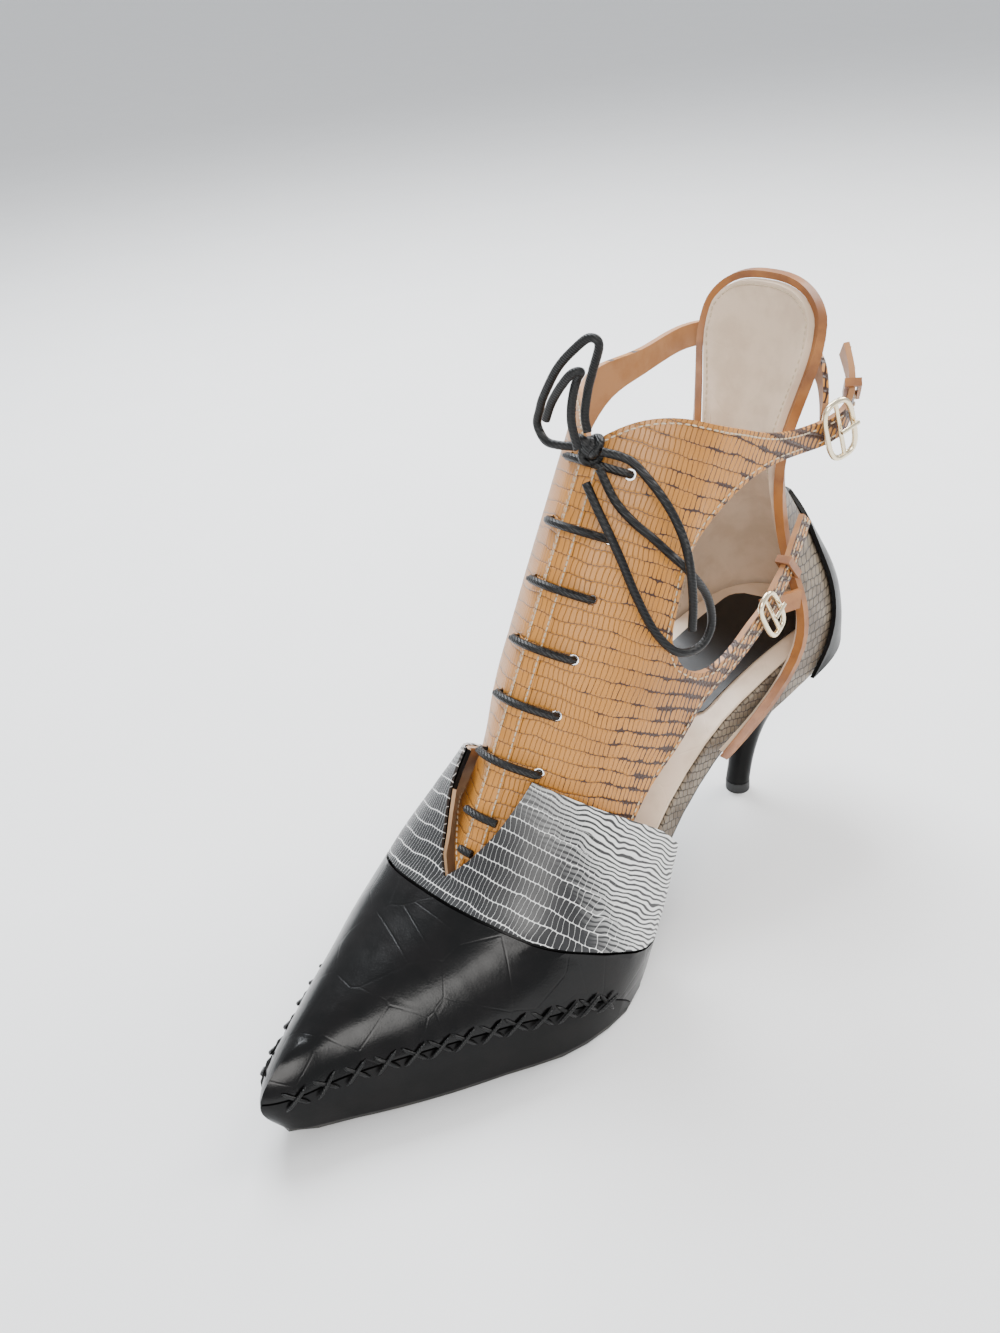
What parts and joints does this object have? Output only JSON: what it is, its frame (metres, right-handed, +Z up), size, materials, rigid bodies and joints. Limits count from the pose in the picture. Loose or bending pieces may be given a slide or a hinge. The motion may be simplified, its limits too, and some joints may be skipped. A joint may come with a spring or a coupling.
{
  "type": "shoe",
  "caption": "Left lace-up high heel with a pointed toe box, laced open instep, ankle and lower buckled straps, side cut-outs and a tall heel tab.",
  "frame": {"origin": "on the floor under the ball of the foot, at the middle of the sole", "axes": "+X toward the outer side of the foot, +Y toward the heel, +Z up from the floor"},
  "size_m": [0.0866, 0.2522, 0.1942],
  "materials": {
    "glossy_black_leather": "smooth black leather with a high gloss and soft creases",
    "satin_black_leather": "smooth black leather with a low sheen",
    "lining_leather": "cream lining leather",
    "printed_band_leather": "black and white embossed print in rows",
    "tan_embossed_leather": "honey tan leather embossed with small ribbed scales",
    "grey_beige_leather": "grey beige leather embossed with small scales",
    "board_edge_leather": "grey beige leather over the side of the insole board",
    "cream_sock_leather": "cream sock leather, smooth",
    "outsole_leather": "black outsole, slightly worn",
    "heel_tip_rubber": "black heel tip",
    "waxed_cord": "black waxed round cord",
    "bare_patch_leather": "plain black patch without any print",
    "pale_gold_metal": "polished pale gold metal",
    "tan_strap_leather": "tan brown strap leather"
  },
  "bodies": {
    "root": {"outsole": "outsole_leather", "insole_board": "board_edge_leather", "sock_lining": "cream_sock_leather", "sock_patch": "bare_patch_leather", "heel": "satin_black_leather", "heel_tip": "heel_tip_rubber", "upper_vamp": "lining_leather", "toe_rand": "satin_black_leather", "toe_cap": "glossy_black_leather", "vamp_band": "printed_band_leather", "upper_facing_outer": "tan_embossed_leather", "upper_facing_inner": "tan_embossed_leather", "upper_counter": "grey_beige_leather", "counter_binding": "tan_strap_leather", "backstay": "satin_black_leather", "lace_knot": "waxed_cord", "lace_loop_upper": "waxed_cord", "lace_loop_lower": "waxed_cord", "lace_end_upper": "waxed_cord", "lace_end_lower": "waxed_cord", "ankle_buckle": "pale_gold_metal", "ankle_buckle_prong": "pale_gold_metal", "lower_buckle": "pale_gold_metal", "lower_buckle_prong": "pale_gold_metal", "ankle_keeper": "tan_strap_leather", "lower_keeper": "tan_strap_leather", "lower_base_strap": "tan_strap_leather", "lace_bar_1": "waxed_cord", "lace_bar_2": "waxed_cord", "lace_bar_3": "waxed_cord", "lace_bar_4": "waxed_cord", "lace_bar_5": "waxed_cord", "lace_bar_6": "waxed_cord", "lace_bar_7": "waxed_cord", "lace_bar_8": "waxed_cord"}
  },
  "joints": []
}
